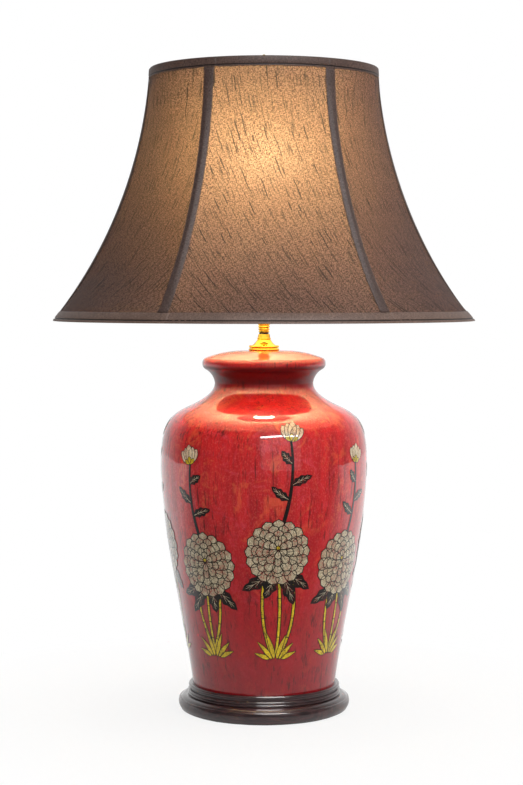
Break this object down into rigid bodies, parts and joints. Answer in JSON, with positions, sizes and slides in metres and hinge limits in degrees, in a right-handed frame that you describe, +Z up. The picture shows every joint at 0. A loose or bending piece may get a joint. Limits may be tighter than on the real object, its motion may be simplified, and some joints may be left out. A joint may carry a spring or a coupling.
{
  "type": "table lamp",
  "caption": "Table lamp: shouldered red vase body on a turned wood plinth, brass neck and gored bell shade on a harp, lit.",
  "frame": {"origin": "on the axis of the lamp, at the underside of the felt pad", "axes": "+Z up along the lamp's axis, -Y to the front, the harp lies in the XZ plane"},
  "size_m": [0.4581, 0.4582, 0.7136],
  "materials": {
    "base_felt": "matt felt",
    "plinth_wood": "dark stained and lacquered",
    "grommet_rubber": "matt",
    "zinc_steel": "zinc plated",
    "pipe_steel": "blackened steel",
    "jar_glaze": "glossy red lacquered glaze",
    "polished_brass": "polished",
    "harp_brass": "plated, satin",
    "socket_brass": "plated, satin",
    "liner_board": "plain insulating board",
    "moulded_body": "moulded thermoset",
    "shell_aluminium": "rolled",
    "key_plastic": "moulded",
    "bulb_frost": "frosted white",
    "black_glass": "black",
    "solder": "tinned",
    "frame_wire": "painted off-white",
    "shade_silk": "slubbed silk",
    "shade_tape": "folded cotton tape"
  },
  "bodies": {
    "base": {"felt_pad": "base_felt", "plinth": "plinth_wood", "cord_grommet": "grommet_rubber", "bottom_washer": "zinc_steel", "bottom_nut": "zinc_steel", "lamp_pipe": "pipe_steel", "jar": "jar_glaze", "vase_cap": "polished_brass", "neck_collar": "polished_brass", "neck_spindle": "polished_brass", "harp_saddle": "harp_brass", "harp": "harp_brass", "harp_stud": "polished_brass", "socket_cap": "socket_brass", "socket_set_screw": "zinc_steel", "socket_shell": "socket_brass", "socket_liner": "liner_board", "socket_body": "moulded_body", "terminal_screws": "polished_brass", "screw_shell": "shell_aluminium", "centre_contact": "polished_brass"},
    "harp_sleeve_right": {"harp_sleeve_right": "harp_brass"},
    "harp_sleeve_left": {"harp_sleeve_left": "harp_brass"},
    "switch_key": {"switch_key": "key_plastic"},
    "bulb": {"bulb_glass": "bulb_frost", "bulb_cap": "shell_aluminium", "bulb_insulator": "black_glass", "bulb_contact": "solder"},
    "shade": {"shade_top_ring": "frame_wire", "shade_bottom_ring": "frame_wire", "shade_ribs": "frame_wire", "shade_spider": "harp_brass", "shade_cover": "shade_silk", "rib_trims": "shade_tape", "top_trim": "shade_tape", "bottom_trim": "shade_tape"},
    "finial": {"finial": "polished_brass"}
  },
  "joints": [
    {"name": "switch_key_turn", "type": "hinge", "parent": "base", "child": "switch_key", "pos_m": [0, -0.02, 0.484], "axis": [0, -1, 0], "continuous": true},
    {"name": "bulb_lift", "type": "slide", "parent": "base", "child": "bulb", "axis": [0, 0, 1], "range_m": [0, 0.027]},
    {"name": "harp_sleeve_right_lift", "type": "slide", "parent": "base", "child": "harp_sleeve_right", "axis": [0, 0, 1], "range_m": [0, 0.012]},
    {"name": "harp_sleeve_left_lift", "type": "slide", "parent": "base", "child": "harp_sleeve_left", "axis": [0, 0, 1], "range_m": [0, 0.012]},
    {"name": "shade_turn", "type": "hinge", "parent": "base", "child": "shade", "pos_m": [0, 0, 0.68665], "axis": [0, 0, 1], "continuous": true},
    {"name": "finial_lift", "type": "slide", "parent": "base", "child": "finial", "axis": [0, 0, 1], "range_m": [0, 0.0135]}
  ]
}
